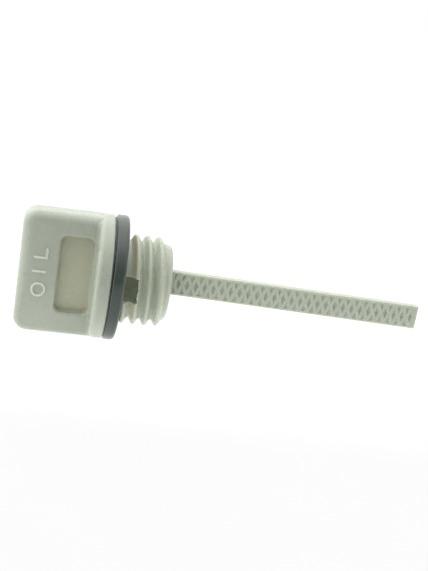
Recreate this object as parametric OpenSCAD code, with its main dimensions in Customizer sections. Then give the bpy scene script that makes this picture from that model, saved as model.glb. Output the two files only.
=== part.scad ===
// Oil dipstick cap: a grip, flange, threaded shank and gauge blade moulded in one piece,
// with a separate rubber sealing ring under the flange.
// The origin is on the axis, in the plane where the ring seals against the filler neck.
// +X runs along the shank to the blade's tip. The lettered broad face of the grip faces -Y.

/* [Grip] */
// How far each narrow side of the grip stands in from the flange's rim
grip_inset = 0.2; // [0.1:0.05:1.5]
// Thickness of the grip between its two broad faces
grip_t = 7; // [6:0.1:9]
// Height of the grip above the flange
grip_h = 16.2; // [14.5:0.1:24]
// Radius of the grip's two outer corners
grip_corner_r = 3; // [2:0.1:5]
// Rounding of the edges round each broad face
grip_edge_r = 1.1; // [0.5:0.1:1.6]
// Concave fillet where a broad face meets the flange
grip_root_r = 0.7; // [0.3:0.1:0.7]

/* [Pockets in the broad faces] */
// Width of the pocket's mouth across the grip
pocket_w = 18.2; // [12:0.1:20]
// Height of the pocket's mouth along the grip
pocket_h = 7.6; // [5:0.1:9]
// Depth of the pocket below the broad face
pocket_depth = 1.9; // [1.2:0.1:2.6]
// Radius of the mouth's corners
pocket_corner_r = 1.5; // [1.2:0.1:2.4]
// Rounding of the mouth's edge
pocket_lip_r = 0.35; // [0.2:0.05:0.5]
// How far the walls lean in from the mouth to the floor
pocket_lean = 0.2; // [0:0.05:0.4]
// Concave fillet round the pocket's floor
pocket_floor_r = 0.3; // [0.1:0.05:0.4]
// Distance from the flange to the mouth's nearer edge
pocket_gap = 0.35; // [0.3:0.05:3]

/* [Flange] */
// Diameter of the flange
flange_d = 27.2; // [25:0.1:30]
// Thickness of the flange
flange_t = 3.2; // [2:0.1:5]
// Rounding of the flange's edge on the grip side
flange_edge_r = 1.2; // [0.3:0.1:1.5]
// Rounding of the flange's edge on the ring side
flange_rim_r = 0.3; // [0.1:0.1:0.6]

/* [Threaded shank] */
// Length of the shank beyond the sealing plane
shank_l = 10.2; // [10:0.1:18]
// Outside diameter over the thread's crests
thread_d = 19.7; // [18.8:0.1:21]
// Advance of the thread in one turn
thread_pitch = 2.5; // [2.4:0.05:2.6]
// Depth of the thread from crest to root
thread_depth = 1.4; // [0.8:0.05:1.5]
// Radius of the rounded crest
thread_crest_r = 0.45; // [0.3:0.05:0.5]
// Angle between the thread's two flanks
thread_flank_angle = 60; // [50:1:64]
// Number of turns, with the run-outs
thread_turns = 3.55; // [2:0.05:3.6]
// Distance from the sealing plane to the crest where the thread starts
thread_start = 0.2; // [0.2:0.05:0.5]
// Angle round the shank at which the thread starts
thread_start_angle = 249; // [0:1:359]
// Angle over which the thread rises at its start
thread_lead_in = 75; // [40:5:180]
// Angle over which the thread fades at its end
thread_run_out = 150; // [40:5:180]
// Plain neck between the sealing plane and the first thread
neck_plain = 0.1; // [0.05:0.05:0.3]
// Rounding of the shank's end
shank_nose_r = 0.9; // [0.3:0.1:1.2]
// Diameter of the hollow inside the shank
hollow_d = 12.6; // [9:0.1:13.4]
// Distance from the sealing plane to the floor of the hollow
hollow_floor = 0.2; // [0.2:0.1:1]

/* [Windows in the shank] */
// Width of each window round the shank
window_w = 5.4; // [4:0.1:7]
// Length of each window along the shank
window_l = 2.8; // [2:0.1:4]

/* [Gauge blade] */
// Length of the blade beyond the shank's end
blade_l = 57.6; // [40:0.1:120]
// Width of the blade
blade_w = 5.3; // [4:0.1:7]
// Thickness of the blade
blade_t = 2; // [1.8:0.1:3]
// Bevel of the blade's long edges
blade_bevel = 0.2; // [0.1:0.05:0.4]
// Angle by which the blade has set sideways
blade_set_angle = 1.6; // [0:0.1:2]
// Sideways offset of the blade where it leaves the shank
blade_offset = 0.35; // [0:0.05:0.5]

/* [Diamond pattern on the blade] */
// Distance from one diamond to the next along the blade
diamond_pitch = 2; // [1.6:0.05:3]
// Distance between neighbouring rows of diamonds
diamond_row = 1.9; // [1.5:0.05:2.6]
// Length of a diamond along the blade
diamond_l = 1.1; // [0.8:0.05:1.4]
// Width of a diamond across the blade
diamond_w = 2.1; // [1.6:0.05:2.6]
// Depth of the diamonds
diamond_depth = 0.35; // [0.2:0.05:0.6]
// Plain margin along each side of the blade
diamond_margin = 0.55; // [0.3:0.05:0.9]
// Plain stretch at the blade's tip
blade_tip_plain = 0.85; // [0.4:0.05:3]

/* [Sealing ring] */
// How far the ring stands out past the flange's rim
ring_overhang = 0.1; // [0:0.05:1]
// Thickness of the ring between the flange and the sealing plane
ring_t = 3; // [2.8:0.1:5]
// Radial room between the ring and the neck that carries it
ring_clearance = 0.1; // [0.05:0.05:0.3]
// How far the ring's flat sealing face starts outside the thread's crests
ring_face_gap = 0.2; // [0.1:0.05:1]
// Depth of the cone that leads from the sealing face into the ring's bore
ring_cone_t = 0.8; // [0.3:0.1:1.2]
// Thickness of the ring's wide band
ring_band_t = 2.2; // [1.4:0.1:2.3]
// Bevel of the wide band's edge next to the groove
ring_bevel = 0.2; // [0.1:0.05:0.4]
// Rounding of the wide band's edge round the sealing face
ring_edge_r = 0.7; // [0.3:0.05:0.9]
// Width of the groove between the wide band and the lip
ring_groove_t = 0.25; // [0.15:0.05:0.4]
// How far the groove's floor stands in from the wide band
ring_groove_inset = 1.1; // [0.9:0.1:2]
// Thickness of the thin lip
ring_lip_t = 0.3; // [0.2:0.05:0.5]
// How far the lip stands in from the wide band
ring_lip_inset = 0.6; // [0.3:0.1:0.8]
// How far the foot against the flange stands in from the wide band
ring_foot_inset = 1.3; // [0.9:0.1:2]

/* [Hidden] */
nylon = [0.66, 0.69, 0.62];
rubber = [0.33, 0.36, 0.35];
over = 1; // how far a cut runs past the surface that it opens
sink = 0.3; // how far a joined shape runs into the one that carries it

// Places along the axis, from the sealing plane: towards the grip is negative
flange_bottom = -ring_t;
flange_top = flange_bottom - flange_t;
blade_tip = shank_l + blade_l;

flange_r = flange_d / 2;
grip_w = flange_d - 2 * grip_inset;
ring_r = flange_r + ring_overhang;
crest_r = thread_d / 2;
root_r = crest_r - thread_depth;
hollow_r = hollow_d / 2;

// Stands the part's axis along X, with the front broad face towards -Y
module lay_down() {
    rotate([0, 90, 0]) children();
}

// Puts a flat outline in the grip's middle plane, drawn with Y as the height above the flange
module in_grip_plane(thickness) {
    translate([0, 0, flange_top]) rotate([-90, 0, 0]) linear_extrude(thickness, center = true) children();
}

// A square corner less a quarter circle: what rounding an edge takes off
module edge_waste(r) {
    difference() {
        square(r + over);
        circle(r, $fn = 64);
    }
}

// What filling an inner corner with a concave fillet adds, with its roots in both walls
module fillet_section(r) {
    difference() {
        translate([-sink, -sink]) square(r + sink);
        translate([r, r]) circle(r, $fn = 64);
    }
}

module grip_outline() {
    straight_h = grip_h - grip_corner_r;
    translate([-grip_w / 2, -sink]) square([grip_w, straight_h + sink]);
    translate([-grip_w / 2 + grip_corner_r, -sink]) square([grip_w - 2 * grip_corner_r, grip_h + sink]);
    for (side = [-1, 1]) translate([side * (grip_w / 2 - grip_corner_r), straight_h]) circle(grip_corner_r, $fn = 96);
}

// The waste along one side of one broad face: up the side, round the corner and along half the outer end
module grip_edge_cut() {
    corner_x = grip_w / 2 - grip_corner_r;
    corner_y = grip_h - grip_corner_r;
    level = grip_t / 2 - grip_edge_r;
    translate([grip_w / 2 - grip_edge_r, corner_y, level])
        rotate([90, 0, 0]) linear_extrude(corner_y + over) edge_waste(grip_edge_r);
    translate([corner_x, corner_y, level])
        rotate_extrude(angle = 90, $fn = 96) translate([grip_corner_r - grip_edge_r, 0]) edge_waste(grip_edge_r);
    translate([0, grip_h - grip_edge_r, level])
        rotate([90, 0, 90]) linear_extrude(corner_x) edge_waste(grip_edge_r);
}

module grip() {
    difference() {
        in_grip_plane(grip_t) grip_outline();
        translate([0, 0, flange_top]) rotate([-90, 0, 0])
            for (face = [0, 1], side = [0, 1])
                mirror([0, 0, face]) mirror([side, 0, 0]) grip_edge_cut();
    }
}

// Concave fillets along the foot of both broad faces, kept on the flange's flat top
module grip_root() {
    flat_w = grip_w - 2 * grip_edge_r;
    intersection() {
        for (face = [0, 1]) mirror([0, face, 0])
            translate([-flat_w / 2, grip_t / 2, flange_top])
                rotate([90, 180, 90]) mirror([1, 0, 0]) linear_extrude(flat_w) fillet_section(grip_root_r);
        translate([0, 0, flange_top - over - grip_root_r])
            cylinder(h = over + grip_root_r + flange_t / 2, r = flange_r - flange_edge_r, $fn = 180);
    }
}

// Points round a rectangle with rounded corners, at one level
corner_steps = 6;
function rounded_ring(w, h, r, level) = [
    for (corner = [0 : 3], step = [0 : corner_steps])
        let (
            a = 90 * (corner + step / corner_steps),
            x = (corner == 1 || corner == 2 ? -1 : 1) * (w / 2 - r),
            y = (corner < 2 ? 1 : -1) * (h / 2 - r))
        [x + r * cos(a), y + r * sin(a), level]];

// A closed skin over a stack of rings of as many points, counter-clockwise when looking on to the next ring
module skin(rings) {
    n = len(rings[0]);
    last = len(rings) - 1;
    sides = [for (s = [0 : last - 1], i = [0 : n - 1])
        let (a = s * n + i, b = s * n + (i + 1) % n)
        each [[a, b, b + n], [a, b + n, a + n]]];
    first_end = [for (i = [n - 1 : -1 : 0]) i];
    last_end = [for (i = [0 : n - 1]) last * n + i];
    polyhedron([for (ring = rings) each ring], concat([first_end], sides, [last_end]));
}

// The pocket's wall from its floor to above its mouth, as [distance in from the mouth, depth]
wall_inset = pocket_lip_r + pocket_lean;
pocket_wall = concat(
    [for (a = [90 : -30 : 0]) [wall_inset, pocket_depth] + pocket_floor_r * [1 - cos(a), sin(a) - 1]],
    [for (a = [90 : -30 : 0]) pocket_lip_r * [sin(a), 1 - cos(a)]],
    [[0, -over]]);

// What one pocket takes out of a broad face, with its mouth in the plane z = 0 and its floor above
module pocket() {
    skin([for (p = pocket_wall)
        rounded_ring(pocket_w - 2 * p[0], pocket_h - 2 * p[0], pocket_corner_r - p[0], p[1])]);
}

module pockets() {
    for (face = [0, 1]) mirror([0, face, 0])
        translate([0, grip_t / 2, flange_top - pocket_gap - pocket_h / 2]) rotate([90, 0, 0]) pocket();
}

// Half section of a disc from its axis out, standing on the X axis, with its two rim edges rounded
module disc_section(r, t, lower_r, upper_r) {
    square([r - max(lower_r, upper_r), t]);
    square([r - lower_r, t - upper_r]);
    translate([0, lower_r]) square([r - upper_r, t - lower_r]);
    translate([0, lower_r]) square([r, t - lower_r - upper_r]);
    translate([r - lower_r, lower_r]) circle(lower_r, $fn = 64);
    translate([r - upper_r, t - upper_r]) circle(upper_r, $fn = 64);
}

module flange() {
    translate([0, 0, flange_top])
        rotate_extrude($fn = 180) disc_section(flange_r, flange_t, flange_edge_r, flange_rim_r);
}

// The plain shank at the thread's root diameter, from inside the flange to the rounded nose
module shank_core() {
    length = shank_l - flange_bottom + sink;
    translate([0, 0, flange_bottom - sink])
        rotate_extrude($fn = 180) {
            square([root_r - shank_nose_r, length]);
            square([root_r, length - shank_nose_r]);
            translate([root_r - shank_nose_r, length - shank_nose_r]) circle(shank_nose_r, $fn = 64);
        }
}

// Section of the thread from its lower root to its upper one, as [height above the root, distance along]
flank_lean = thread_flank_angle / 2;
crest_centre = thread_depth - thread_crest_r;
crest_arc = [for (share = [-1 : 0.5 : 1]) let (a = share * (90 - flank_lean))
    [crest_centre + thread_crest_r * cos(a), thread_crest_r * sin(a)]];
thread_sink = 0.15; // how far the thread's foot runs into the shank
crest_end = crest_arc[len(crest_arc) - 1];
thread_base = crest_end[1] + (crest_end[0] + thread_sink) * tan(flank_lean);
thread_section = concat([[-thread_sink, -thread_base]], crest_arc, [[-thread_sink, thread_base]]);

steps_per_turn = 48;
thread_steps = ceil(thread_turns * steps_per_turn);
thread_dive = 0.1; // how far the thread's ends dive below the root surface
thread_thin = 0.3; // share of the thread's width that is left at its ends

// Share of the thread's full height at an angle along it
function thread_rise(angle) =
    let (left = thread_turns * 360 - angle)
    min(sin(min(90, 90 * angle / thread_lead_in)), sin(min(90, 90 * left / thread_run_out)));

// The section at one step along the helix, turned and lifted to its place
function thread_ring(step) =
    let (
        along = step / thread_steps * thread_turns * 360,
        rise = thread_rise(along),
        width = thread_thin + (1 - thread_thin) * rise,
        turn = thread_start_angle + along,
        level = thread_start + along / 360 * thread_pitch)
    [for (p = thread_section)
        let (r = root_r + (p[0] < 0 ? p[0] : (p[0] + thread_dive) * rise - thread_dive))
        [r * cos(turn), r * sin(turn), level + p[1] * width]];

module thread_ridge() {
    skin([for (s = [0 : thread_steps]) thread_ring(s)]);
}

// The thread starts square where the ring's seat ends
module thread() {
    intersection() {
        thread_ridge();
        translate([0, 0, neck_plain]) cylinder(h = shank_l, r = thread_d, $fn = 64);
    }
}

// Both windows, opposite each other, down to the floor of the hollow
module windows() {
    translate([-window_w / 2, -thread_d, hollow_floor]) cube([window_w, 2 * thread_d, window_l]);
}

module shank() {
    difference() {
        union() {
            shank_core();
            thread();
        }
        translate([0, 0, hollow_floor]) cylinder(h = shank_l + over, r = hollow_r, $fn = 128);
        windows();
    }
}

// Cross section of the blade, with bevelled corners
module blade_section() {
    x = blade_w / 2;
    y = blade_t / 2;
    b = blade_bevel;
    polygon([[-x + b, -y], [x - b, -y], [x, -y + b], [x, y - b], [x - b, y], [-x + b, y], [-x, y - b], [-x, -y + b]]);
}

module diamond() {
    polygon([[-diamond_w / 2, 0], [0, -diamond_l / 2], [diamond_w / 2, 0], [0, diamond_l / 2]]);
}

// Rows of diamonds, counted from the tip: one row down the middle and half a pitch off it a row on each side
module diamond_pattern() {
    last = blade_tip - blade_tip_plain - diamond_l / 2;
    count = floor((last - shank_l) / diamond_pitch) + 1;
    for (i = [0 : count]) translate([0, last - i * diamond_pitch]) {
        diamond();
        intersection() {
            for (side = [-1, 1]) translate([side * diamond_row, -diamond_pitch / 2]) diamond();
            square([blade_w - 2 * diamond_margin, 3 * diamond_pitch], center = true);
        }
    }
}

module blade() {
    root = hollow_floor - sink;
    translate([-blade_offset, 0, shank_l]) rotate([0, blade_set_angle, 0]) translate([0, 0, -shank_l])
        difference() {
            translate([0, 0, root]) linear_extrude(blade_tip - root) blade_section();
            for (face = [0, 1]) mirror([0, face, 0])
                translate([0, blade_t / 2 + over, 0]) rotate([90, 0, 0])
                    linear_extrude(over + diamond_depth) diamond_pattern();
        }
}

module dipstick_moulding() {
    color(nylon) lay_down() {
        difference() {
            union() {
                grip();
                grip_root();
                flange();
            }
            pockets();
        }
        shank();
        blade();
    }
}

// Half section of the ring: foot against the flange, thin lip, groove, wide band to the sealing plane,
// and a cone that lets the bore pass over the thread
module ring_section() {
    bore_r = root_r + ring_clearance;
    lip_start = ring_t - ring_band_t - ring_groove_t - ring_lip_t;
    groove_start = lip_start + ring_lip_t;
    band_start = groove_start + ring_groove_t;
    lip_r = ring_r - ring_lip_inset;
    foot_r = ring_r - ring_foot_inset;
    groove_r = ring_r - ring_groove_inset;
    polygon([
        [bore_r, 0], [foot_r, 0], [foot_r, lip_start],
        [lip_r, lip_start], [lip_r, groove_start], [groove_r, groove_start], [groove_r, band_start],
        [ring_r - ring_bevel, band_start], [ring_r, band_start + ring_bevel],
        [ring_r, ring_t - ring_edge_r], [ring_r - ring_edge_r, ring_t],
        [crest_r + ring_face_gap, ring_t], [bore_r, ring_t - ring_cone_t]]);
    translate([ring_r - ring_edge_r, ring_t - ring_edge_r]) circle(ring_edge_r, $fn = 64);
}

module sealing_ring() {
    color(rubber) lay_down()
        translate([0, 0, flange_bottom]) rotate_extrude($fn = 180) ring_section();
}

dipstick_moulding();
sealing_ring();
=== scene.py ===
import math

import bpy
import numpy as np
from mathutils import Matrix, Vector


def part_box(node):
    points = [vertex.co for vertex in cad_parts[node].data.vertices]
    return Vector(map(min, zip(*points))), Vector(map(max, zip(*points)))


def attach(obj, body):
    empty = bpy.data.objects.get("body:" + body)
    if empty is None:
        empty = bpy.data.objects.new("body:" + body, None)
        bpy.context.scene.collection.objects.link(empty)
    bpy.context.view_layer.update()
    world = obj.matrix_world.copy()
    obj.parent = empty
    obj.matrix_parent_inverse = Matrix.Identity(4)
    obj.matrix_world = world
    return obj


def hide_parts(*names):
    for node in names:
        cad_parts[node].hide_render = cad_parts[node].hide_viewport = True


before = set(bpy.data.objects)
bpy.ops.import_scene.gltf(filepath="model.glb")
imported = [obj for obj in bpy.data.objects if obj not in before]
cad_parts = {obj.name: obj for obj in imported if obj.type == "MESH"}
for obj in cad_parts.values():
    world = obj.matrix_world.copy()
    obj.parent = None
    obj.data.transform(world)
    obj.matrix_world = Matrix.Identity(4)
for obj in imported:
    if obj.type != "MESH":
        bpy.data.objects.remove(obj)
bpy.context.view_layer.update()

MM = 0.001
moulding_low, moulding_high = (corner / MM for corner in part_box("dipstick_moulding"))
ring_low, ring_high = (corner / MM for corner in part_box("sealing_ring"))

# Camera, in degrees, pixels of the picture's frame and millimetres
IMAGE_WIDTH = 428
IMAGE_HEIGHT = 571
SENSOR = 36.0
CAMERA_AZIMUTH = -9.4
CAMERA_ELEVATION = 16.37
CAMERA_ROLL = 9.26
FOCAL_PIXELS = 1100.0
PIXELS_PER_MM = 4.571
AIM_POINT = (-3.15, 0.0, 0.0)
AIM_PIXEL = (107.5, 276.0)

# Places along the axis and radii, in millimetres, from the frame
GRIP_END = moulding_low.x
FLANGE_BOTTOM = ring_low.x
SEAL_PLANE = ring_high.x
FLANGE_R = moulding_high.y
RING_R = ring_high.y
FLOOR_LEVEL = ring_low.z

# Flange and grip. The grip's front edges go from the low radius at its lower side to the full
# one at its upper side; each fade runs between two places across the grip
FLANGE_T = 3.2
FLANGE_TOP = FLANGE_BOTTOM - FLANGE_T
FLANGE_EDGE_R = 1.2
FLANGE_RIM_R = 0.55
GRIP_INSET = 0.2
GRIP_HALF_W = FLANGE_R - GRIP_INSET
GRIP_HALF_T = 3.5
GRIP_CORNER_R = 3.0
GRIP_EDGE_R = 2.2
GRIP_LOW_EDGE_R = 1.2
GRIP_EDGE_FADE = (-12.0, 2.0)
GRIP_BACK_EDGE_R = 0.9
GRIP_ROOT_R = 0.7
GRIP_ROOT_END_R = 0.03
GRIP_ROOT_FADE = (13.2, 12.0)

# Pockets in the broad faces, a little above the grip's middle
POCKET_HALF_W = 8.6
POCKET_RISE = 0.2
POCKET_HALF_H = 3.6
POCKET_GAP = 0.55
POCKET_DEPTH = 1.9
POCKET_CORNER_R = 1.5
POCKET_FLOOR_R = 0.45
POCKET_LIP_R = 0.6
POCKET_END_LEAN = 0.12
POCKET_MIDDLE = FLANGE_TOP - POCKET_GAP - POCKET_HALF_H

# Raised letters on the front broad face, as places along the axis and across the grip
LETTER_STROKE = 0.5
LETTER_HEIGHT = 0.28
LETTER_EDGE_R = 0.16
LETTER_ROOT_R = 0.14
LETTER_SINK = 0.6
LETTER_O_CENTRE = (-17.77, -3.62)
LETTER_O_R = 1.38
LETTER_BARS = (
    ((-19.19, 0.42), (-16.63, 0.42)),
    ((-19.04, 3.5), (-16.62, 3.5)),
    ((-16.62, 3.5), (-16.62, 5.45)),
)

# Shank, thread, hollow and windows
SHANK_END = 10.2
CREST_R = 9.85
THREAD_DEPTH = 1.4
ROOT_R = CREST_R - THREAD_DEPTH
THREAD_PITCH = 2.5
THREAD_CREST_R = 0.45
THREAD_LEAN = math.radians(30)
THREAD_START = 0.2
THREAD_START_ANGLE = 249
THREAD_TURNS = 3.55
THREAD_LEAD_IN = 75
THREAD_RUN_OUT = 150
THREAD_DIVE = 0.15
THREAD_ROOT_R = 0.3
NECK_PLAIN = 0.1
NECK_EDGE_R = 0.12
NOSE_R = 1.2
SHANK_SUNK = 2.0
HOLLOW_R = 6.3
HOLLOW_FLOOR = 0.2
HOLLOW_FLOOR_R = 0.3
MOUTH_EDGE_R = 0.3
WINDOW_HALF_W = 2.7
WINDOW_L = 2.8
WINDOW_CORNER_R = 0.35
WINDOW_EDGE_R = 0.2

# Uneven far edge of the windows, as (height, waves in radians a millimetre, shift)
WINDOW_WAVES = ((0.1, 2.3, 0.8), (0.05, 5.1, 0.0))

# Blade and its diamonds
BLADE_TILT = math.radians(1.6)
BLADE_OFFSET = 0.35
BLADE_L = 57.6
BLADE_HALF_W = 2.65
BLADE_HALF_T = 1.0
BLADE_EDGE_R = 0.22
BLADE_SUNK = 0.3
DIAMOND_PITCH = 2.0
DIAMOND_ROW = 1.9
DIAMOND_HALF_L = 0.62
DIAMOND_HALF_W = 1.4
DIAMOND_DEPTH = 0.25
DIAMOND_SOFT = 0.36
DIAMOND_LIP = 0.02
DIAMOND_MARGIN = 0.3
DIAMOND_START = 1.0
TIP_PLAIN = 0.85

# Meshing
GRID = 0.125
GRID_MARGIN = 4
BLOCK = 8
BLOCK_REACH = 1.2
BLOCKS_AT_ONCE = 1500
SLOPE_REACH = 0.01
LEAST_SLOPE = 0.2
TINY = 1e-9
TRIANGLES = 188000


def make_camera():
    angles = (CAMERA_AZIMUTH, CAMERA_ELEVATION, CAMERA_ROLL)
    azimuth, elevation, roll = (math.radians(a) for a in angles)
    back = Vector((
        math.sin(azimuth) * math.cos(elevation),
        -math.cos(azimuth) * math.cos(elevation),
        math.sin(elevation)))
    level = Vector((0, 0, 1)).cross(back).normalized()
    upright = back.cross(level)
    right = level * math.cos(roll) + upright * math.sin(roll)
    up = upright * math.cos(roll) - level * math.sin(roll)
    distance = FOCAL_PIXELS / PIXELS_PER_MM
    shift_right = (AIM_PIXEL[0] - IMAGE_WIDTH / 2) / PIXELS_PER_MM
    shift_up = (IMAGE_HEIGHT / 2 - AIM_PIXEL[1]) / PIXELS_PER_MM
    place = Vector(AIM_POINT) + back * distance - right * shift_right - up * shift_up
    data = bpy.data.cameras.new("camera")
    data.sensor_fit = "VERTICAL"
    data.sensor_height = SENSOR
    data.lens = FOCAL_PIXELS / IMAGE_HEIGHT * SENSOR
    data.clip_start = 0.01
    data.clip_end = 20
    camera = bpy.data.objects.new("camera", data)
    turn = Matrix((right, up, back)).transposed().to_4x4()
    camera.matrix_world = Matrix.Translation(place * MM) @ turn
    bpy.context.scene.collection.objects.link(camera)
    bpy.context.scene.camera = camera


make_camera()


# Distances: below zero inside the solid, above zero outside
def outside(a, b):
    past = np.sqrt(np.maximum(a, 0) ** 2 + np.maximum(b, 0) ** 2)
    return past + np.minimum(np.maximum(a, b), 0)


def round_union(a, b, r):
    blend = np.sqrt(np.maximum(r - a, 0) ** 2 + np.maximum(r - b, 0) ** 2)
    return np.maximum(r, np.minimum(a, b)) - blend


def round_cut(a, b, r):
    return -round_union(-a, b, r)


def round_meet(a, b, r):
    return -round_union(-a, -b, r)


def smooth_step(low, high, value):
    t = np.clip((value - low) / (high - low), 0, 1)
    return t * t * (3 - 2 * t)


def segment(u, v, start, end):
    du, dv = end[0] - start[0], end[1] - start[1]
    along = (u - start[0]) * du + (v - start[1]) * dv
    t = np.clip(along / (du * du + dv * dv), 0, 1)
    return np.hypot(u - start[0] - t * du, v - start[1] - t * dv)


def grip(x, y, z):
    upper = smooth_step(*GRIP_EDGE_FADE, z)
    front_r = GRIP_LOW_EDGE_R + (GRIP_EDGE_R - GRIP_LOW_EDGE_R) * upper
    edge_r = np.where(y < 0, front_r, GRIP_BACK_EDGE_R)
    corner = GRIP_CORNER_R - edge_r
    end = GRIP_END + edge_r + corner - x
    side = np.abs(z) - (GRIP_HALF_W - edge_r - corner)
    outline = outside(end, side) - corner
    solid = outside(outline, np.abs(y) - (GRIP_HALF_T - edge_r)) - edge_r
    return np.maximum(solid, x - (FLANGE_TOP + FLANGE_T / 2))


def flange(x, rho):
    middle = FLANGE_TOP + FLANGE_T / 2
    r = np.where(x < middle, FLANGE_EDGE_R, FLANGE_RIM_R)
    return outside(np.abs(x - middle) - FLANGE_T / 2 + r, rho - FLANGE_R + r) - r


def pocket(x, y, z):
    depth = np.clip((GRIP_HALF_T - np.abs(y)) / POCKET_DEPTH, 0, 1)
    r = POCKET_CORNER_R
    across = np.abs(z - POCKET_RISE) - (POCKET_HALF_W - POCKET_END_LEAN * depth) + r
    along = np.abs(x - POCKET_MIDDLE) - POCKET_HALF_H + r
    outline = outside(along, across) - r
    floor = GRIP_HALF_T - POCKET_DEPTH - np.abs(y)
    return outside(outline + POCKET_FLOOR_R, floor + POCKET_FLOOR_R) - POCKET_FLOOR_R


def letters(x, y, z):
    centre = LETTER_O_CENTRE
    strokes = np.abs(np.hypot(x - centre[0], z - centre[1]) - LETTER_O_R)
    for start, end in LETTER_BARS:
        strokes = np.minimum(strokes, segment(x, z, start, end))
    level = -y - GRIP_HALF_T - LETTER_HEIGHT
    r = LETTER_EDGE_R
    raised = outside(strokes - LETTER_STROKE / 2 + r, level + r) - r
    return np.maximum(raised, y + GRIP_HALF_T - LETTER_SINK)


def thread(x, y, z, rho):
    angle = np.degrees(np.arctan2(y, -z))
    share = ((angle - THREAD_START_ANGLE) % 360) / 360
    offset = x - THREAD_START - share * THREAD_PITCH
    turn = np.clip(np.round(offset / THREAD_PITCH), 0, np.floor(THREAD_TURNS - share))
    along = (share + turn) * 360
    left = THREAD_TURNS * 360 - along
    rise = np.minimum(
        np.sin(np.radians(np.minimum(90, 90 * along / THREAD_LEAD_IN))),
        np.sin(np.radians(np.clip(90 * left / THREAD_RUN_OUT, 0, 90))))
    out = rho - (ROOT_R - THREAD_DIVE + (THREAD_DEPTH + THREAD_DIVE) * rise - THREAD_CREST_R)
    aside = np.abs(offset - turn * THREAD_PITCH)
    lean_out, lean_aside = math.sin(THREAD_LEAN), math.cos(THREAD_LEAN)
    on_crest = out * lean_aside > aside * lean_out
    flank = out * lean_out + aside * lean_aside
    return np.where(on_crest, np.hypot(out, aside), flank) - THREAD_CREST_R


def shank(x, y, z, rho):
    start = FLANGE_BOTTOM - SHANK_SUNK
    middle, half = (start + SHANK_END) / 2, (SHANK_END - start) / 2
    core = outside(np.abs(x - middle) - half + NOSE_R, rho - ROOT_R + NOSE_R) - NOSE_R
    ridge = round_meet(thread(x, y, z, rho), NECK_PLAIN - x, NECK_EDGE_R)
    solid = round_union(core, ridge, THREAD_ROOT_R)
    r = HOLLOW_FLOOR_R
    hollow = outside(rho - HOLLOW_R + r, HOLLOW_FLOOR - x + r) - r
    solid = round_cut(solid, hollow, MOUTH_EDGE_R)
    r = WINDOW_CORNER_R
    wave = sum(height * np.sin(waves * z + shift) for height, waves, shift in WINDOW_WAVES)
    middle = HOLLOW_FLOOR + WINDOW_L / 2
    window = outside(
        np.abs(x - middle) - WINDOW_L / 2 + r - np.where(x > middle, wave, 0),
        np.abs(z) - WINDOW_HALF_W + r) - r
    return round_cut(solid, window, WINDOW_EDGE_R)


def diamond_field(s, v):
    def diamond(u, w):
        half_l, half_w = DIAMOND_HALF_L, DIAMOND_HALF_W
        scale = half_l * half_w / math.hypot(half_l, half_w)
        return (np.abs(u) / half_l + np.abs(w) / half_w - 1) * scale
    last = BLADE_L - TIP_PLAIN - DIAMOND_HALF_L
    u, half = s - last, DIAMOND_PITCH / 2
    middle_row = diamond((u + half) % DIAMOND_PITCH - half, v)
    side_rows = diamond(u % DIAMOND_PITCH - half, np.abs(v) - DIAMOND_ROW)
    side_rows = np.maximum(side_rows, np.abs(v) - BLADE_HALF_W + DIAMOND_MARGIN)
    both = np.minimum(middle_row, side_rows)
    return np.maximum(both, np.maximum(-s + DIAMOND_START, s - BLADE_L + TIP_PLAIN))


def blade_place(x, z):
    along, up = x - SHANK_END, z - BLADE_OFFSET
    return (along * math.cos(BLADE_TILT) - up * math.sin(BLADE_TILT),
            along * math.sin(BLADE_TILT) + up * math.cos(BLADE_TILT))


def blade(x, y, z):
    s, v = blade_place(x, z)
    start = HOLLOW_FLOOR - SHANK_END - BLADE_SUNK
    middle, half = (start + BLADE_L) / 2, (BLADE_L - start) / 2
    r = BLADE_EDGE_R
    outline = outside(np.abs(s - middle) - half + r, np.abs(v) - BLADE_HALF_W + r)
    inner = smooth_step(DIAMOND_LIP, -DIAMOND_SOFT, diamond_field(s, v))
    dip = DIAMOND_DEPTH * inner
    level = np.abs(y) - BLADE_HALF_T + dip
    return outside(outline, level + r) - r


def moulding(x, y, z):
    rho = np.hypot(y, z)
    inner = smooth_step(*GRIP_ROOT_FADE, np.abs(z))
    root_r = GRIP_ROOT_END_R + (GRIP_ROOT_R - GRIP_ROOT_END_R) * inner
    body = round_cut(grip(x, y, z), pocket(x, y, z), POCKET_LIP_R)
    body = round_union(body, letters(x, y, z), LETTER_ROOT_R)
    body = round_union(body, flange(x, rho), root_r)
    return np.minimum(np.minimum(body, shank(x, y, z, rho)), blade(x, y, z))


# Meshing: samples on a grid, then one vertex in each cell that the surface crosses, moved
# onto the surface
def sample(field, low, high, step):
    blocks = np.ceil((high - low) / (step * BLOCK)).astype(int)
    centres = [low[a] + step * (BLOCK * np.arange(blocks[a]) + (BLOCK - 1) / 2)
               for a in range(3)]
    coarse = field(*np.meshgrid(*centres, indexing="ij")).astype(np.float32)
    values = coarse.repeat(BLOCK, 0).repeat(BLOCK, 1).repeat(BLOCK, 2)
    near = np.argwhere(np.abs(coarse) < step * BLOCK * BLOCK_REACH)
    within = np.arange(BLOCK)
    for part in np.array_split(near, max(1, len(near) // BLOCKS_AT_ONCE)):
        at = [part[:, a, None] * BLOCK + within for a in range(3)]
        i, j, k = np.broadcast_arrays(
            at[0][:, :, None, None], at[1][:, None, :, None], at[2][:, None, None, :])
        places = (low[a] + step * n.astype(np.float32) for a, n in enumerate((i, j, k)))
        values[i, j, k] = field(*places)
    return values


def gradient(field, points):
    slopes = []
    for a in range(3):
        shift = np.zeros(3)
        shift[a] = SLOPE_REACH
        rise = field(*(points + shift).T) - field(*(points - shift).T)
        slopes.append(rise / (2 * SLOPE_REACH))
    return np.stack(slopes, 1)


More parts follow.
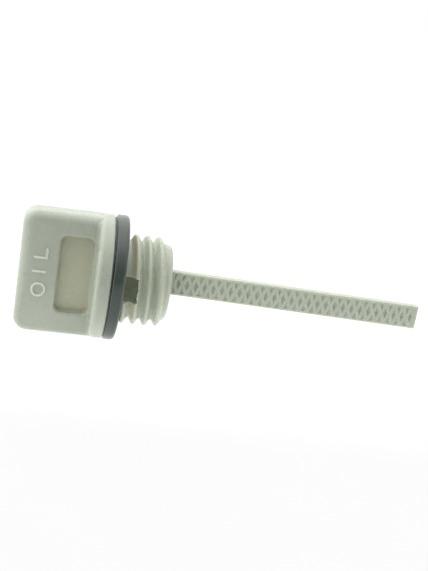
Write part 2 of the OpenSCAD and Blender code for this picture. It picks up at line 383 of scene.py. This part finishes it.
def settle(field, points, rounds, limit):
    for _ in range(rounds):
        slope = gradient(field, points)
        steepness = np.maximum((slope ** 2).sum(1), LEAST_SLOPE)
        move = field(*points.T)[:, None] * slope / steepness[:, None]
        length = np.linalg.norm(move, axis=1, keepdims=True)
        points = points - move * np.minimum(1, limit / np.maximum(length, TINY))
    return points


def surface(field, low, high, step):
    values = sample(field, low, high, step)
    inside = values < 0
    shape = np.array(values.shape)
    stride = np.array([shape[1] * shape[2], shape[2], 1])
    quads, places = [], []
    for a in range(3):
        b, c = (a + 1) % 3, (a + 2) % 3
        lower = [slice(None)] * 3
        upper = [slice(None)] * 3
        lower[a], upper[a] = slice(0, -1), slice(1, None)
        at = np.argwhere(inside[tuple(lower)] != inside[tuple(upper)])
        first = values[tuple(at.T)]
        after = at.copy()
        after[:, a] += 1
        second = values[tuple(after.T)]
        crossing = at.astype(float)
        crossing[:, a] += first / (first - second)
        cell = at @ stride
        ring = np.stack(
            [cell - stride[b] - stride[c], cell - stride[c], cell, cell - stride[b]], 1)
        ring[first >= 0] = ring[first >= 0][:, ::-1]
        quads.append(ring)
        places.append(np.repeat(crossing, 4, 0))
    quads = np.concatenate(quads)
    index = np.unique(quads.ravel(), return_inverse=True)[1].ravel()
    places = np.concatenate(places)
    count = np.bincount(index)
    points = np.stack([np.bincount(index, places[:, a]) for a in range(3)], 1) / count[:, None]
    points = settle(field, low + step * points, rounds=3, limit=step)
    return points, index.reshape(-1, 4)


def smooth_normals(mesh, normals):
    mesh.shade_smooth()
    mesh.normals_split_custom_set_from_vertices(normals.astype(float).tolist())


def mesh_points(mesh):
    points = np.empty(len(mesh.vertices) * 3)
    mesh.vertices.foreach_get("co", points)
    return points.reshape(-1, 3) / MM


# Where each paint fades in, from none to full
LETTER_FADE = (GRIP_HALF_T + 0.03, GRIP_HALF_T + 0.16)
# The pocket floor's warmer tone, made lighter as painted light against the walls' shade
POCKET_FADE = (GRIP_HALF_T - 0.3, GRIP_HALF_T - 1.4)
# Painted shade in the diamond recesses, fading out towards the blade's edges
DIAMOND_FADE = (0.08, -0.22)
DIAMOND_ASIDE_FADE = (2.2, 0.6)
# Painted light on the first thread flank that faces the ring, where the ring blocks the light
FLANK_END_FADE = (3.2, 2.4)
FLANK_FACING_FADE = (0.2, 0.5)
FLANK_START_R = ROOT_R + 0.1


def marks(points, normals):
    """Shares from 0 to 1: a letter, a pocket's floor with its warmer tone and painted light,
    painted shade in a diamond, the shank and painted light on the first flank.
    """
    x, y, z = points.T
    s, v = blade_place(x, z)
    raised = (letters(x, y, z) < GRID) & (y < -GRIP_HALF_T)
    in_pocket = (pocket(x, y, z) < POCKET_LIP_R) & (x < FLANGE_TOP)
    on_blade = (x > SHANK_END) & (blade(x, y, z) < GRID) & (np.abs(v) < BLADE_HALF_W)
    in_diamond = smooth_step(*DIAMOND_FADE, diamond_field(s, v))
    on_thread = (np.hypot(y, z) > FLANK_START_R) & (x > 0)
    facing_ring = smooth_step(*FLANK_FACING_FADE, -normals[:, 0])
    return {
        "letter": raised * smooth_step(*LETTER_FADE, -y),
        # Pocket floor: warmer tone plus painted light
        "pocket": in_pocket * smooth_step(*POCKET_FADE, np.abs(y)),
        # Painted shade in the diamond recesses
        "diamond": on_blade * in_diamond * smooth_step(*DIAMOND_ASIDE_FADE, np.abs(v)),
        "shank": (x > 0) * 1.0,
        # Painted light on the first thread flank, lighter where the ring shades it
        "flank": on_thread * smooth_step(*FLANK_END_FADE, x) * facing_ring,
    }


def make_moulding(material):
    low = np.array([moulding_low.x, moulding_low.y, moulding_low.z]) - GRID_MARGIN * GRID
    high = np.array([moulding_high.x, moulding_high.y, moulding_high.z]) + GRID_MARGIN * GRID
    points, quads = surface(moulding, low, high, GRID)
    mesh = bpy.data.meshes.new("moulding_grid")
    mesh.from_pydata((points * MM).tolist(), [], quads.tolist())
    piece = bpy.data.objects.new("cap_and_blade", mesh)
    bpy.context.scene.collection.objects.link(piece)
    fewer = piece.modifiers.new("fewer", "DECIMATE")
    fewer.ratio = min(1, TRIANGLES / (2 * len(quads)))
    bpy.context.view_layer.update()
    evaluated = piece.evaluated_get(bpy.context.evaluated_depsgraph_get())
    light = bpy.data.meshes.new_from_object(evaluated)
    light.name = "cap_and_blade"
    piece.modifiers.clear()
    piece.data = light
    bpy.data.meshes.remove(mesh)
    points = settle(moulding, mesh_points(light), rounds=2, limit=GRID)
    light.vertices.foreach_set("co", (points * MM).ravel())
    light.update()
    slope = gradient(moulding, points)
    normals = slope / np.linalg.norm(slope, axis=1, keepdims=True)
    smooth_normals(light, normals)
    for name, share in marks(points, normals).items():
        light.attributes.new(name, "FLOAT", "POINT").data.foreach_set("value", share)
    light.materials.append(material)
    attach(piece, "root")
    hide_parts("dipstick_moulding")
    print("moulding:", len(quads), "quads,", len(light.polygons), "faces")
    return piece


# Sealing ring: its section turned about the axis
RING_BORE_R = 8.55
RING_FOOT_INSET = 1.3
RING_LIP_INSET = 0.6
RING_GROOVE_INSET = 1.1
RING_FOOT_R = RING_R - RING_FOOT_INSET
RING_LIP_R = RING_R - RING_LIP_INSET
RING_GROOVE_R = RING_R - RING_GROOVE_INSET
RING_LIP_START = 0.25
RING_GROOVE_START = 0.55
RING_BAND_START = 0.8
RING_T = SEAL_PLANE - FLANGE_BOTTOM
RING_EDGE_R = 0.7
RING_FOOT_EDGE_R = 0.05
RING_LIP_EDGE_R = 0.12
RING_GROOVE_EDGE_R = 0.08
RING_BAND_EDGE_R = 0.22
RING_FACE_GAP = 0.2
RING_CONE_R = CREST_R + RING_FACE_GAP
RING_CONE_T = 0.8
RING_CONE_EDGE_R = 0.2

# How the fitted ring differs from the free one: it is thinner, its band starts nearer the
# flange, and both edges of the band lean with height
RING_SQUASH = 0.2
RING_BAND_SHIFT = -0.4
RING_BAND_LEAN = 0.16
RING_FAR_LEAN = 0.28

# Steps round the ring and in each of its arcs
RING_TURNS = 288
ARC_STEPS = 6

# Corners of the ring's section, as (radius, distance from the flange, rounding)
RING_CORNERS = (
    (RING_BORE_R, 0.0, RING_FOOT_EDGE_R),
    (RING_FOOT_R, 0.0, RING_FOOT_EDGE_R),
    (RING_FOOT_R, RING_LIP_START, RING_FOOT_EDGE_R),
    (RING_LIP_R, RING_LIP_START, RING_LIP_EDGE_R),
    (RING_LIP_R, RING_GROOVE_START, RING_LIP_EDGE_R),
    (RING_GROOVE_R, RING_GROOVE_START, RING_GROOVE_EDGE_R),
    (RING_GROOVE_R, RING_BAND_START, RING_GROOVE_EDGE_R),
    (RING_R, RING_BAND_START, RING_BAND_EDGE_R),
    (RING_R, RING_T, RING_EDGE_R),
    (RING_CONE_R, RING_T, RING_CONE_EDGE_R),
    (RING_BORE_R, RING_T - RING_CONE_T, RING_CONE_EDGE_R),
)


def rounded_profile(corners):
    """Points along a closed outline with an arc at each corner, and each point's normal."""
    points, normals = [], []
    count = len(corners)
    for n, (u, v, r) in enumerate(corners):
        here = np.array([u, v])
        before = np.array(corners[n - 1][:2]) - here
        after = np.array(corners[(n + 1) % count][:2]) - here
        before, after = before / np.linalg.norm(before), after / np.linalg.norm(after)
        half = math.acos(float(np.clip(before @ after, -1, 1))) / 2
        middle = (before + after) / np.linalg.norm(before + after)
        centre = here + middle * r / math.sin(half)
        turn = before[0] * after[1] - before[1] * after[0]
        sign = -1 if turn < 0 else 1
        first = here + before * r / math.tan(half) - centre
        last = here + after * r / math.tan(half) - centre
        start, end = math.atan2(first[1], first[0]), math.atan2(last[1], last[0])
        sweep = (end - start + math.pi) % (2 * math.pi) - math.pi
        for step in range(ARC_STEPS + 1):
            a = start + sweep * step / ARC_STEPS
            arm = np.array([math.cos(a), math.sin(a)])
            points.append(centre + arm * r)
            normals.append(arm * -sign)
    return np.array(points), np.array(normals)


def make_ring(material):
    profile, slopes = rounded_profile(RING_CORNERS)
    count = len(profile)
    angles = np.arange(RING_TURNS) * 2 * math.pi / RING_TURNS
    cos, sin = np.cos(angles)[:, None], np.sin(angles)[:, None]
    radius, along = profile[:, 0][None], profile[:, 1][None]
    band = RING_BAND_START + RING_BAND_SHIFT + RING_BAND_LEAN * sin
    share = (along - RING_BAND_START) / (RING_T - RING_BAND_START)
    far = band + share * (RING_T - RING_SQUASH + RING_FAR_LEAN * sin - band)
    along = np.where(along > RING_BAND_START, far, along * band / RING_BAND_START)
    points = np.stack([FLANGE_BOTTOM + along, radius * cos, radius * sin], -1) * MM
    flat = np.ones_like(cos)
    normals = np.stack([flat * slopes[:, 1], cos * slopes[:, 0], sin * slopes[:, 0]], -1)
    first, second = np.meshgrid(np.arange(RING_TURNS), np.arange(count), indexing="ij")
    nxt, step = (first + 1) % RING_TURNS, (second + 1) % count
    here, there = first * count, nxt * count
    quads = np.stack([here + second, there + second, there + step, here + step], -1)
    mesh = bpy.data.meshes.new("rubber_ring")
    mesh.from_pydata(points.reshape(-1, 3).tolist(), [], quads.reshape(-1, 4).tolist())
    smooth_normals(mesh, normals.reshape(-1, 3))
    piece = bpy.data.objects.new("rubber_ring", mesh)
    bpy.context.scene.collection.objects.link(piece)
    mesh.materials.append(material)
    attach(piece, "root")
    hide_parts("sealing_ring")
    return piece


# Materials
def new_material(name):
    material = bpy.data.materials.new(name)
    material.use_nodes = True
    return material, material.node_tree, material.node_tree.nodes["Principled BSDF"]


def link(tree, source, target):
    tree.links.new(source, target)


def noise(tree, scale, detail, stretch=(1, 1, 1)):
    place = tree.nodes.new("ShaderNodeTexCoord")
    mapping = tree.nodes.new("ShaderNodeMapping")
    mapping.inputs["Scale"].default_value = stretch
    texture = tree.nodes.new("ShaderNodeTexNoise")
    texture.inputs["Scale"].default_value = scale
    texture.inputs["Detail"].default_value = detail
    link(tree, place.outputs["Object"], mapping.inputs["Vector"])
    link(tree, mapping.outputs["Vector"], texture.inputs["Vector"])
    return texture.outputs["Fac"]


def spread(tree, value, old, new):
    node = tree.nodes.new("ShaderNodeMapRange")
    node.interpolation_type = "SMOOTHSTEP"
    for name, number in zip(("From Min", "From Max", "To Min", "To Max"), (*old, *new)):
        node.inputs[name].default_value = number
    link(tree, value, node.inputs["Value"])
    return node.outputs["Result"]


def mix_colour(tree, share, first, second):
    node = tree.nodes.new("ShaderNodeMix")
    node.data_type = "RGBA"
    for socket, colour in ((node.inputs[6], first), (node.inputs[7], second)):
        if isinstance(colour, tuple):
            socket.default_value = (*colour, 1)
        else:
            link(tree, colour, socket)
    link(tree, share, node.inputs[0])
    return node.outputs[2]


def math_node(tree, kind, first, second):
    node = tree.nodes.new("ShaderNodeMath")
    node.operation = kind
    for socket, value in zip(node.inputs, (first, second)):
        if isinstance(value, (int, float)):
            socket.default_value = value
        else:
            link(tree, value, socket)
    return node.outputs[0]


def attribute(tree, name):
    node = tree.nodes.new("ShaderNodeAttribute")
    node.attribute_name = name
    return node.outputs["Fac"]


def bump(tree, shader, height, distance):
    node = tree.nodes.new("ShaderNodeBump")
    node.inputs["Distance"].default_value = distance
    link(tree, height, node.inputs["Height"])
    link(tree, node.outputs["Normal"], shader.inputs["Normal"])


NYLON = (0.40, 0.437, 0.362)
NYLON_LIGHT = (0.418, 0.456, 0.378)
NYLON_SHANK = (0.44, 0.475, 0.38)
# The pocket floor's warmer tone, lightened as painted light to offset shade from its walls
POCKET_TONE_AND_PAINTED_LIGHT = (0.48, 0.485, 0.355)
NYLON_LETTER = (0.56, 0.60, 0.52)
# Painted shade: a darker colour in the diamond recesses
DIAMOND_PAINTED_SHADE = (0.36, 0.40, 0.33)
# Painted light: a lighter colour on the first thread flank, in place of light that the ring blocks
FLANK_PAINTED_LIGHT = (0.62, 0.62, 0.46)
RUBBER = (0.028, 0.044, 0.034)
RUBBER_WORN = (0.040, 0.056, 0.046)

# Noise over each material, as (scale, detail)
NYLON_CLOUDS = (120, 3)
NYLON_GRAIN = (700, 4)
NYLON_GLOSS = (300, 4)
NYLON_SCRATCHES = (900, 2)
SCRATCH_STRETCH = (0.12, 1, 1)
RUBBER_WEAR = (250, 4)
RUBBER_GLOSS = (500, 4)
RUBBER_GRAIN = (1500, 3)
FLOOR_CLOUDS = (40, 2)

# Parts of a noise's range that are used, and what they are turned into
CLOUD_RANGE = (0.35, 0.7)
WEAR_RANGE = (0.4, 0.75)
MIDDLE_RANGE = (0.3, 0.7)
FULL = (0, 1)
POCKET_GRAIN = (0, 0.35)
NYLON_ROUGHNESS = (0.24, 0.36)
RUBBER_ROUGHNESS = (0.28, 0.4)
NYLON_RELIEF = 0.000003
RUBBER_RELIEF = 0.00001


def make_nylon():
    material, tree, shader = new_material("nylon")
    cloud = spread(tree, noise(tree, *NYLON_CLOUDS), CLOUD_RANGE, FULL)
    colour = mix_colour(tree, cloud, NYLON, NYLON_LIGHT)
    colour = mix_colour(tree, attribute(tree, "shank"), colour, NYLON_SHANK)
    grain = noise(tree, *NYLON_GRAIN)
    stain = spread(tree, grain, MIDDLE_RANGE, POCKET_GRAIN)
    # Pocket floor: warmer tone with painted light, broken up at random by the grain
    pocket_tone_and_light = mix_colour(tree, stain, POCKET_TONE_AND_PAINTED_LIGHT, NYLON_LIGHT)
    colour = mix_colour(tree, attribute(tree, "pocket"), colour, pocket_tone_and_light)
    colour = mix_colour(tree, attribute(tree, "letter"), colour, NYLON_LETTER)
    # Painted shade in the diamond recesses
    colour = mix_colour(tree, attribute(tree, "diamond"), colour, DIAMOND_PAINTED_SHADE)
    # Painted light on the first thread flank
    colour = mix_colour(tree, attribute(tree, "flank"), colour, FLANK_PAINTED_LIGHT)
    link(tree, colour, shader.inputs["Base Color"])
    gloss = spread(tree, noise(tree, *NYLON_GLOSS), MIDDLE_RANGE, NYLON_ROUGHNESS)
    link(tree, gloss, shader.inputs["Roughness"])
    shader.inputs["Subsurface Weight"].default_value = 0.6
    shader.inputs["Subsurface Radius"].default_value = (1.0, 1.0, 1.0)
    shader.inputs["Subsurface Scale"].default_value = 0.0012
    scratches = noise(tree, *NYLON_SCRATCHES, SCRATCH_STRETCH)
    bump(tree, shader, math_node(tree, "ADD", grain, scratches), NYLON_RELIEF)
    return material


def make_rubber():
    material, tree, shader = new_material("rubber")
    wear = spread(tree, noise(tree, *RUBBER_WEAR), WEAR_RANGE, FULL)
    colour = mix_colour(tree, wear, RUBBER, RUBBER_WORN)
    link(tree, colour, shader.inputs["Base Color"])
    gloss = spread(tree, noise(tree, *RUBBER_GLOSS), MIDDLE_RANGE, RUBBER_ROUGHNESS)
    link(tree, gloss, shader.inputs["Roughness"])
    shader.inputs["Specular IOR Level"].default_value = 0.7
    shader.inputs["Sheen Weight"].default_value = 0.6
    shader.inputs["Sheen Roughness"].default_value = 0.3
    bump(tree, shader, noise(tree, *RUBBER_GRAIN), RUBBER_RELIEF)
    return material


def seen_share(tree, share):
    """The share for rays from the camera, a gloss or a glass; none for rays that only light."""
    path = tree.nodes.new("ShaderNodeLightPath")
    seen = path.outputs["Is Camera Ray"]
    for name in ("Is Glossy Ray", "Is Transmission Ray"):
        seen = math_node(tree, "MAXIMUM", seen, path.outputs[name])
    return math_node(tree, "MULTIPLY", seen, share)


FLOOR_HALF = 2.0
FLOOR_COLOUR = (0.45, 0.45, 0.45)
FLOOR_LIGHT = (0.47, 0.47, 0.47)
FLOOR_GLOW = 1.05
FLOOR_GLOW_FRONT = 0.15
FLOOR_FRONT_REACH = (-0.055, -0.012)
FLOOR_WHITEN = 0.82


def make_floor():
    material, tree, shader = new_material("floor")
    cloud = spread(tree, noise(tree, *FLOOR_CLOUDS), MIDDLE_RANGE, FULL)
    speckle = mix_colour(tree, cloud, FLOOR_COLOUR, FLOOR_LIGHT)
    link(tree, speckle, shader.inputs["Base Color"])
    shader.inputs["Roughness"].default_value = 0.9
    shader.inputs["Specular IOR Level"].default_value = 0.0
    shader.inputs["Emission Color"].default_value = (1, 1, 1, 1)
    place = tree.nodes.new("ShaderNodeNewGeometry")
    parts = tree.nodes.new("ShaderNodeSeparateXYZ")
    link(tree, place.outputs["Position"], parts.inputs[0])
    glow = spread(tree, parts.outputs["Y"], FLOOR_FRONT_REACH, (FLOOR_GLOW_FRONT, FLOOR_GLOW))
    link(tree, glow, shader.inputs["Emission Strength"])
    white = tree.nodes.new("ShaderNodeEmission")
    both = tree.nodes.new("ShaderNodeMixShader")
    link(tree, seen_share(tree, FLOOR_WHITEN), both.inputs[0])
    link(tree, shader.outputs[0], both.inputs[1])
    link(tree, white.outputs[0], both.inputs[2])
    link(tree, both.outputs[0], tree.nodes["Material Output"].inputs["Surface"])
    level = FLOOR_LEVEL * MM
    mesh = bpy.data.meshes.new("floor")
    corners = [(u * FLOOR_HALF, v * FLOOR_HALF, level)
               for u, v in ((-1, -1), (1, -1), (1, 1), (-1, 1))]
    mesh.from_pydata(corners, [], [(0, 1, 2, 3)])
    mesh.materials.append(material)
    floor = bpy.data.objects.new("floor", mesh)
    bpy.context.scene.collection.objects.link(floor)


SKY_LEVEL = 1.13
SKY_UP = 1.1
SKY_LEFT = 0.6
SKY_FRONT = 0.17
SKY_FRONT_REACH = (-0.95, 0.0)


def make_world():
    """Soft light, stronger from above and the left, weaker from the front; plain white behind."""
    world = bpy.data.worlds.new("world")
    bpy.context.scene.world = world
    world.use_nodes = True
    tree = world.node_tree
    sky = tree.nodes["Background"]
    place = tree.nodes.new("ShaderNodeTexCoord")
    parts = tree.nodes.new("ShaderNodeSeparateXYZ")
    link(tree, place.outputs["Generated"], parts.inputs[0])
    up = math_node(tree, "MULTIPLY", parts.outputs["Z"], SKY_UP)
    left = math_node(tree, "MULTIPLY", parts.outputs["X"], -SKY_LEFT)
    level = math_node(tree, "ADD", math_node(tree, "ADD", up, left), SKY_LEVEL)
    front = spread(tree, parts.outputs["Y"], SKY_FRONT_REACH, (SKY_FRONT, 1))
    link(tree, math_node(tree, "MULTIPLY", level, front), sky.inputs["Strength"])
    sky.inputs["Color"].default_value = (1, 1, 1, 1)
    white = tree.nodes.new("ShaderNodeBackground")
    white.inputs["Color"].default_value = (1, 1, 1, 1)
    both = tree.nodes.new("ShaderNodeMixShader")
    path = tree.nodes.new("ShaderNodeLightPath")
    link(tree, path.outputs["Is Camera Ray"], both.inputs[0])
    link(tree, sky.outputs[0], both.inputs[1])
    link(tree, white.outputs[0], both.inputs[2])
    link(tree, both.outputs[0], tree.nodes["World Output"].inputs["Surface"])


make_moulding(make_nylon())
make_ring(make_rubber())
make_floor()
make_world()
bpy.context.scene.view_settings.view_transform = "Standard"
